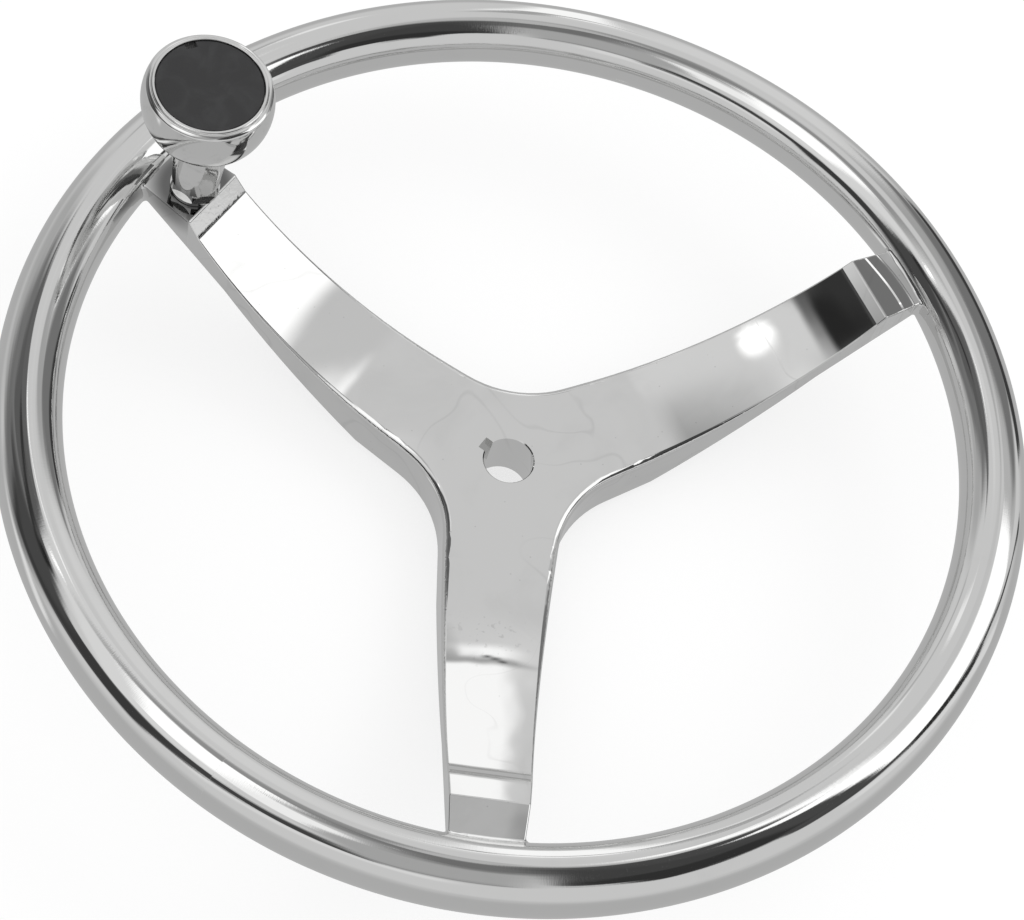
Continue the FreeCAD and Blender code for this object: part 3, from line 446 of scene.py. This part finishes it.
def specks(shade, place, scale, size, share):
    """Small round pits, one in a share of the cells of a cell pattern."""
    cell = shade.node("ShaderNodeTexVoronoi", {"feature": "F1"}, {"Vector": place, "Scale": scale})
    pick = shade.node("ShaderNodeSeparateColor", {}, {0: cell.out("Color")}).rise(share, share + 0.02)
    return (1.0 - cell.rise(size * 0.4, size)) * (1.0 - pick)


STEEL = (0.80, 0.80, 0.795, 1.0)
STEEL_DULL = (0.62, 0.62, 0.615, 1.0)
# colour of the painted shade on the pad round the knob's foot
STEEL_PAINTED_SHADE = (0.12, 0.12, 0.12, 1.0)
print("steel reflects", STEEL[0], "of the light")

# %% Bends that the grinding wheel left in the spokes
# directions of the three spokes in degrees
KNOB_SPOKE, BOTTOM_SPOKE, RIGHT_SPOKE = 90.0, 210.0, 330.0
# spoke, distance of the crease from the bore, half width over which it is softened, and change of
# slope across it
CREASES = [
    (KNOB_SPOKE, 0.1250, 0.0008, 0.457),
    (KNOB_SPOKE, 0.1295, 0.0005, -1.184),
    (BOTTOM_SPOKE, 0.1281, 0.0022, -0.240),
    (BOTTOM_SPOKE, 0.1372, 0.0005, -0.560),
    (RIGHT_SPOKE, 0.1310, 0.0006, 0.097),
    (RIGHT_SPOKE, 0.1347, 0.0006, -0.919),
]
# the slopes of the spokes take a fifth off the height of a rounded crease
ON_SLOPE = 0.8
# the hollows of the right pad run aslant: off the middle line by SHIFT, turned by SLANT and curved
# by CURL, and wandering by WANDER
SHIFT, SLANT, CURL, WANDER = 0.003, 0.13, 6.0, 0.0008
# distance from the bore and change of slope there
RIGHT_STRIP = [(0.1316, -0.68), (0.1345, 0.40)]
RIGHT_HOLLOWS = [(0.1390, 0.11), (0.1411, 0.67), (0.1419, -0.67), (0.1430, -0.05), (0.1452, 0.08),
                 (0.1458, 0.50), (0.1463, -0.50), (0.1466, 0.14)]
# distance from the bore and change of the slope's rate there
BOTTOM_RATES = [(0.0945, -6.12), (0.1230, 6.12 + 50.0), (0.1265, -50.0)]


def spoke_axes(shade, place, direction):
    """Distance out along a spoke, and distance off its centre line."""
    parts = shade.node("ShaderNodeSeparateXYZ", {}, {0: place})
    x, y = parts.out("X"), parts.out("Y")
    c, s = math.cos(math.radians(direction)), math.sin(math.radians(direction))
    return x * c + y * s, y * c - x * s


def soft_creases(shade, place):
    """A crease rounded over its half width w lies below the sharp one by bend (w - d)^2 / 4w, where
    d is the distance from it."""
    height = 0.0
    for direction, distance, width, bend in CREASES:
        along = spoke_axes(shade, place, direction)[0]
        near = (width - (along - distance).math("ABSOLUTE")).math("MAXIMUM", 0.0)
        height = near * near * (ON_SLOPE * bend / (4.0 * width)) + height
    return height


def bent(place, bends):
    """A height whose slope changes by each bend at its distance: sum of bend * max(place - d, 0)."""
    height = 0.0
    for distance, bend in bends:
        height = (place - distance).math("MAXIMUM", 0.0) * bend + height
    return height


def right_pad(shade, place, lap):
    """The right spoke's end is ground by hand: a flat strip, then a hollow, a step and a second
    hollow, all running slightly aslant."""
    along, off = spoke_axes(shade, place, RIGHT_SPOKE)
    off = off - SHIFT
    slant = along + off * SLANT + off * off * CURL + lap * WANDER - 0.5 * WANDER
    return bent(along, RIGHT_STRIP) + bent(slant, RIGHT_HOLLOWS)


def bottom_bend(shade, place, lap):
    """The bottom spoke stays flatter up to its end than the cast shape, then bends up at once: the
    height is the sum of rate / 2 * max(place - d, 0)^2. Across it lies a very shallow sway."""
    along, off = spoke_axes(shade, place, BOTTOM_SPOKE)
    height = (off * 160.0 + lap * 2.0).math("SINE") * along.rise(0.068, 0.085) * 0.00007
    for distance, rate in BOTTOM_RATES:
        late = (along - distance).math("MAXIMUM", 0.0)
        height = late * late * (rate * 0.5) + height
    return height


def pitted_facet(shade, place):
    """The short facet of the knob's spoke is left rough from the casting."""
    along = spoke_axes(shade, place, KNOB_SPOKE)[0]
    on_facet = along.rise(0.1245, 0.1255) * (1.0 - along.rise(0.129, 0.1297))
    return shade.noise(place, 500.0, 2.0, 0.5, 0.5) * on_facet * 0.00005


def ground_pads(shade, place):
    """The height that grinding leaves on all three spokes."""
    lap = shade.noise(place, 60.0, 1.0, 0.4)
    return right_pad(shade, place, lap) + bottom_bend(shade, place, lap) + pitted_facet(shade, place)


print("softened creases:", len(CREASES))

# %% Steel of the spider
spider_steel, shade = new_material("spider_steel_polished")
place = object_place(shade)
waves = shade.noise(place, 26.0, 1.0, 0.4)
ripple = shade.noise(place, 75.0, 1.0, 0.4, 0.5)
clouds = shade.noise(place, 34.0, 4.0, 0.6, 0.6).rise(0.46, 0.72)
rings = water_lines(shade, place, 21.0, 0.009, 0.5) * shade.noise(place, 20.0, 1.0, 0.5).rise(0.38, 0.55)
pits = specks(shade, place, 420.0, 0.16, 0.10)
bruise = 1.0 - shade.spot(place, (-0.0600, -0.0330, 0.030), (0.018, 0.018, 0.030)).rise(0.3, 1.0)
bruises = shade.noise(place, 420.0, 2.0, 0.5).rise(0.6, 0.72) * bruise
along = spoke_axes(shade, place, KNOB_SPOKE)[0]
# painted shade: the pad round the knob's foot is darkened in its colour, standing in for the ball's dark
# underside that the pad mirrors; only on the pad, not on the facet
foot = 1.0 - shade.spot(place, (0.0, KNOB_Y, PAD_HEIGHT), (0.020, 0.020, 0.015)).rise(0.5, 1.0)
foot = foot * along.rise(0.1288, 0.1298)
film = (clouds * 0.20 + rings * 0.34 + pits * 0.7 + bruises * 0.7).clamp()
colour = shade.mix(film, STEEL, STEEL_DULL)
colour = shade.mix(foot * 0.92, colour, STEEL_PAINTED_SHADE)
rough = 0.03 + clouds * 0.03 + rings * 0.03
relief = bump(shade, ripple, 0.000012, bump(shade, waves, 0.00007))
relief = bump(shade, soft_creases(shade, place) + ground_pads(shade, place), 1.0, relief)
finish_material(shade, colour, rough, 1.0, relief)
print("made", spider_steel.name)

# %% Steel of the rim
rim_steel, shade = new_material("rim_steel_polished")
place = object_place(shade)
parts = shade.node("ShaderNodeSeparateXYZ", {}, {0: place})
x, y, z = parts.out("X"), parts.out("Y"), parts.out("Z")
out_from_axis = (x * x + y * y).math("SQRT") - RING
round_wheel = y.math("ARCTAN2", x)
round_tube = (z - RIM_HEIGHT).math("ARCTAN2", out_from_axis)
bends = shade.noise(shade.xyz(round_wheel * 1.5, round_tube * 5.0, 0.0), 1.0, 1.0, 0.5)
streaks = shade.noise(shade.xyz(round_wheel * 3.0, round_tube * 18.0, 3.0), 1.0, 2.0, 0.5)
cross = shade.noise(shade.xyz(round_wheel * 380.0, round_tube * 5.0, 0.0), 1.0, 3.0, 0.65)
patch = shade.noise(shade.xyz(round_wheel * 3.0, round_tube * 1.2, 4.0), 1.0, 2.0, 0.5).rise(0.5, 0.72)
haze = shade.noise(place, 70.0, 4.0, 0.6).rise(0.5, 0.8)
scuff = cross.rise(0.5, 0.72) * patch
film = (haze * 0.10 + scuff * 0.10).clamp()
colour = shade.mix(film, STEEL, STEEL_DULL)
rough = 0.025 + streaks * 0.02 + scuff * 0.12 + haze * 0.02
relief = bump(shade, streaks, 0.00001, bump(shade, bends, 0.00006))
relief = bump(shade, cross * (patch * 0.75 + 0.25), 0.000012, relief)
finish_material(shade, colour, rough, 1.0, relief)
print("made", rim_steel.name)

# %% Steel of the knob's head and post
knob_steel, shade = new_material("knob_steel_polished")
place = knob_place(shade)
parts = shade.node("ShaderNodeSeparateXYZ", {}, {0: place})
turning = shade.noise(shade.xyz(0.0, 0.0, parts.out("Z") * 1800.0), 1.0, 2.0, 0.5)
waves = shade.noise(place, 60.0, 1.0, 0.4)
stain = shade.noise(place, 120.0, 5.0, 0.65, 0.6).rise(0.52, 0.74)
film = (stain * 0.55).clamp()
colour = shade.mix(film, STEEL, STEEL_DULL)
rough = 0.05 + stain * 0.14 + turning * 0.03
relief = bump(shade, turning, 0.000002, bump(shade, waves, 0.00004))
finish_material(shade, colour, rough, 1.0, relief)
print("made", knob_steel.name)

# %% Steel of the nut, washers and screw
fastener_steel, shade = new_material("fastener_steel_plain")
place = knob_place(shade)
grain = shade.noise(place, 900.0, 3.0, 0.6)
dull = shade.noise(place, 260.0, 4.0, 0.6).rise(0.4, 0.7)
colour = shade.mix(dull, (0.68, 0.68, 0.67, 1.0), (0.52, 0.51, 0.49, 1.0))
rough = 0.22 + grain * 0.14 + dull * 0.1
finish_material(shade, colour, rough, 1.0, bump(shade, grain, 0.00001))
print("made", fastener_steel.name)

# %% [markdown]
# ## The cap and the bearing plastics
# The cap is moulded in black plastic with a fine leathery grain. Use has left it with grey smears.
# The bushes and their washer are white acetal, a smooth waxy plastic, and are only seen if the knob
# is taken apart.

# %% Black cap
cap_black, shade = new_material("cap_black_plastic")
place = knob_place(shade)
grain = shade.noise(place, 1500.0, 3.0, 0.6)
smear = shade.noise(place, 85.0, 4.0, 0.6, 1.2).rise(0.42, 0.72)
dust = shade.noise(place, 2600.0, 2.0, 0.7).rise(0.6, 0.8)
film = (smear * 0.6 + dust * 0.35).clamp()
colour = shade.mix(film, (0.026, 0.026, 0.027, 1.0), (0.046, 0.047, 0.048, 1.0))
rough = 0.52 + smear * 0.08 + grain * 0.1
finish_material(shade, colour, rough, 0.0, bump(shade, grain, 0.00002))
print("made", cap_black.name)

# %% White bearing plastic
acetal, shade = new_material("bearing_white_plastic")
place = knob_place(shade)
cloud = shade.noise(place, 200.0, 3.0, 0.5)
colour = shade.mix(cloud, (0.84, 0.83, 0.79, 1.0), (0.78, 0.77, 0.72, 1.0))
finish_material(shade, colour, 0.35 + cloud * 0.1, 0.0, bump(shade, cloud, 0.00001))
print("made", acetal.name)

# %% [markdown]
# ## Dress the CAD pieces
# Pieces whose CAD shape is already the real one keep it and only get their material.

# %% Give each CAD piece its material
DRESS = {
    "spider": spider_steel,
    "rim_tube": rim_steel,
    "knob_post": knob_steel,
    "knob_head": knob_steel,
    "knob_cap": cap_black,
    "upper_bush": acetal,
    "lower_bush": acetal,
    "thrust_washer": acetal,
    "retaining_washer": fastener_steel,
    "retaining_screw": fastener_steel,
    "lock_washer": fastener_steel,
    "back_nut": fastener_steel,
}
for name, material in DRESS.items():
    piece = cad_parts[name]
    for slot in piece.material_slots:
        slot.material = material
print("dressed", len(DRESS), "pieces")

# %% [markdown]
# ## The rim
# The rim is a round tube bent into a ring. In a mirror finish the facets of a coarse mesh show at
# once, so the rim is worked out again as a torus with many more faces, and takes the CAD piece's
# place.

# %% Work out the rim
def ring_surface(steps_round, steps_tube):
    """A circle of radius TUBE, whose centre runs round the wheel's axis at radius RING.
    Point = (r cos a, r sin a, RIM_HEIGHT + TUBE sin b), with r = RING + TUBE cos b."""
    a = np.linspace(0.0, 2.0 * np.pi, steps_round, endpoint=False)[:, None]
    b = np.linspace(0.0, 2.0 * np.pi, steps_tube, endpoint=False)[None, :]
    r = RING + TUBE * np.cos(b) + 0.0 * a
    height = RIM_HEIGHT + TUBE * np.sin(b) + 0.0 * a
    return np.stack([r * np.cos(a), r * np.sin(a), height], -1)


STEPS_ROUND = 1152
STEPS_TUBE = 80
points = ring_surface(STEPS_ROUND, STEPS_TUBE)
rim = add_mesh("rim_polished", points, grid_faces(STEPS_ROUND, STEPS_TUBE, True, True))
rim.data.materials.append(rim_steel)
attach(rim, "wheel")
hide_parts("rim_tube")
print("rim faces:", len(rim.data.polygons))

# %% [markdown]
# ## The knob's head
# The head is a hollow ball turned on a lathe, so one outline spun about the knob's axis gives all of
# it. The outline runs up the outside and down the inside. Round the cap stands a narrow bead, with a
# fine groove outside it, which the plain CAD shape leaves out. Distances are in mm from the axis and
# above the pad that the knob stands on.

# %% Spin the outline of the head
# radius of the ball and height of its middle, and the heights at which it starts and ends
BALL, BALL_HEIGHT = 21.5, 50.6
BALL_FROM, BALL_TO = 34.75, 56.7
# middle of the shoulder's quarter ellipse, and its two half axes
SHOULDER, SHOULDER_HEIGHT = 18.85, 56.75
SHOULDER_WIDE, SHOULDER_HIGH = 1.75, 1.3
HEAD_STEPS = 192


def turned_outline():
    """Ball: r = sqrt(BALL^2 - (z - BALL_HEIGHT)^2). Shoulder: a quarter of an ellipse,
    r = SHOULDER + SHOULDER_WIDE sin t and z = SHOULDER_HEIGHT + SHOULDER_HIGH cos t, that leads from
    the ball into the groove."""
    z = np.linspace(BALL_FROM, BALL_TO, 40)
    ball = np.stack([np.sqrt(BALL ** 2 - (z - BALL_HEIGHT) ** 2), z], -1)
    t = np.linspace(0.5 * np.pi, 0.0, 12)
    shoulder = np.stack([SHOULDER + SHOULDER_WIDE * np.sin(t),
                         SHOULDER_HEIGHT + SHOULDER_HIGH * np.cos(t)], -1)
    foot = [(10.8, 34.4), (13.75, 34.4), (14.05, 34.46), (14.25, 34.58)]
    bead = [(18.78, 58.12), (18.72, 58.35), (18.62, 58.54), (18.45, 58.66), (18.25, 58.7),
            (17.75, 58.7), (17.6, 58.65), (17.55, 58.5), (17.55, 56.4)]
    hollow = [(15.3, 56.4), (15.3, 40.9), (9.5, 40.9), (9.5, 51.2), (6.5, 51.2), (6.5, 38.2),
              (10.8, 38.2)]
    return np.vstack([foot, ball, shoulder, bead, hollow])


outline = turned_outline() / 1000.0
a = np.linspace(0.0, 2.0 * np.pi, HEAD_STEPS, endpoint=False)[:, None]
c, s = math.cos(KNOB_LEAN), math.sin(KNOB_LEAN)
x, y, z = outline[:, 0] * np.cos(a), outline[:, 0] * np.sin(a), outline[:, 1] + 0.0 * a
points = np.stack([x, KNOB_Y + y * c - z * s, PAD_HEIGHT + y * s + z * c], -1)
head = add_mesh("knob_head_turned", points, grid_faces(HEAD_STEPS, len(outline), True, True))
head.data.set_sharp_from_angle(angle=math.radians(30.0))
head.data.materials.append(knob_steel)
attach(head, "knob")
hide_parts("knob_head")
cad_points = np.array([corner.co[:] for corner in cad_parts["knob_head"].data.vertices])
own_points = points.reshape(-1, 3)
low_off = own_points.min(0) - cad_points.min(0)
high_off = own_points.max(0) - cad_points.max(0)
print("head faces:", len(head.data.polygons))
print("box off the CAD shape in mm:", np.round(low_off * 1000, 2), np.round(high_off * 1000, 2))

# %% [markdown]
# ## The key light
# One large soft lamp over the lower right, for the shading of what is matt and the soft shadow on
# the table. The metal sees the studio's windows in its place.

# %% Hang the key light
lamp = bpy.data.lights.new("key_light", "AREA")
lamp.shape = "RECTANGLE"
lamp.size, lamp.size_y = 0.9, 0.7
lamp.energy = 3.0
lamp.color = (1.0, 1.0, 1.0)
key = bpy.data.objects.new("key_light", lamp)
bpy.context.scene.collection.objects.link(key)
key.location = (0.75, -0.55, 1.0)
key.rotation_euler = (Vector((0.0, 0.0, 0.03)) - key.location).to_track_quat("-Z", "Y").to_euler()
key.visible_glossy = False
print("key light at", [round(c, 2) for c in key.location])

# %% Plain colour handling
bpy.context.scene.view_settings.view_transform = "Standard"
